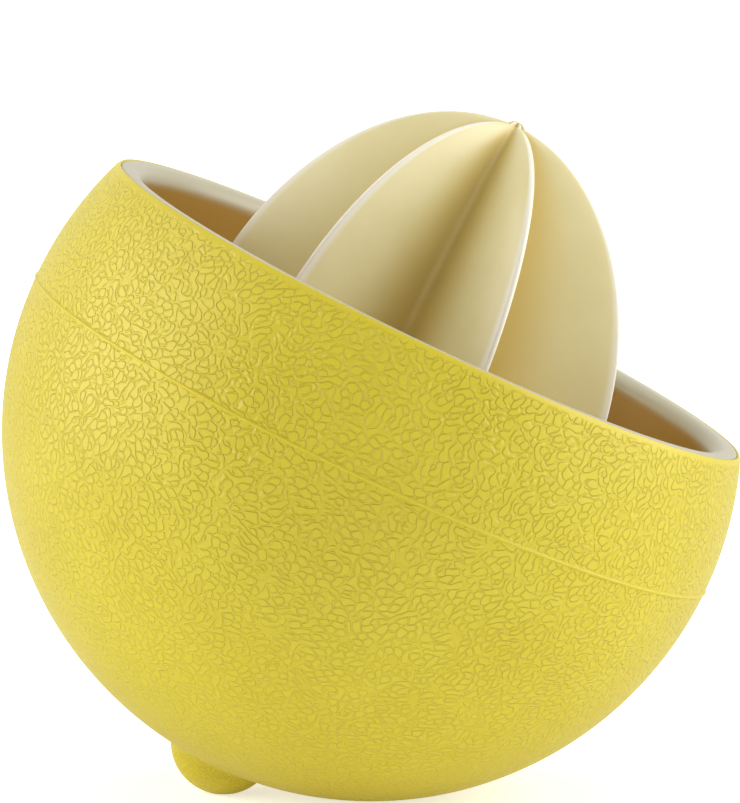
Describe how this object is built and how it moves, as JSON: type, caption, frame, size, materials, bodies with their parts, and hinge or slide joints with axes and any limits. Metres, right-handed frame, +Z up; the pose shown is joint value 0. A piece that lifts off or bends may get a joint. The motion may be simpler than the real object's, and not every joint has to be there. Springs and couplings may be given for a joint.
{
  "type": "citrus juicer",
  "caption": "Ball-shaped hand citrus juicer: soft grained skin over a rigid bowl, with a lift-out slotted strainer and a finned reamer, leaning on its belly and nub.",
  "frame": {"origin": "centre of the flat that the ball's belly stands on, straight below the centre of the ball", "axes": "+Z up from the ground; the bowl's axis leans from +Z towards +X; +Y points away from the viewer of the front"},
  "size_m": [0.1149, 0.1156, 0.1069],
  "materials": {
    "skin_rubber": "soft yellow rubber with a moulded citrus-peel grain",
    "bowl_plastic": "satin cream moulded plastic, slightly translucent",
    "strainer_plastic": "satin cream moulded plastic",
    "reamer_plastic": "satin cream moulded plastic"
  },
  "bodies": {
    "bowl": {"peel_skin": "skin_rubber", "bowl_shell": "bowl_plastic"},
    "strainer": {"strainer_tray": "strainer_plastic"},
    "reamer": {"reamer_cone": "reamer_plastic"}
  },
  "joints": [
    {"name": "strainer_lift", "type": "slide", "parent": "bowl", "child": "strainer", "axis": [0.4274, 0, 0.9041], "range_m": [0, 0.045]},
    {"name": "reamer_lift", "type": "slide", "parent": "strainer", "child": "reamer", "axis": [0.4274, 0, 0.9041], "range_m": [0, 0.04]}
  ]
}
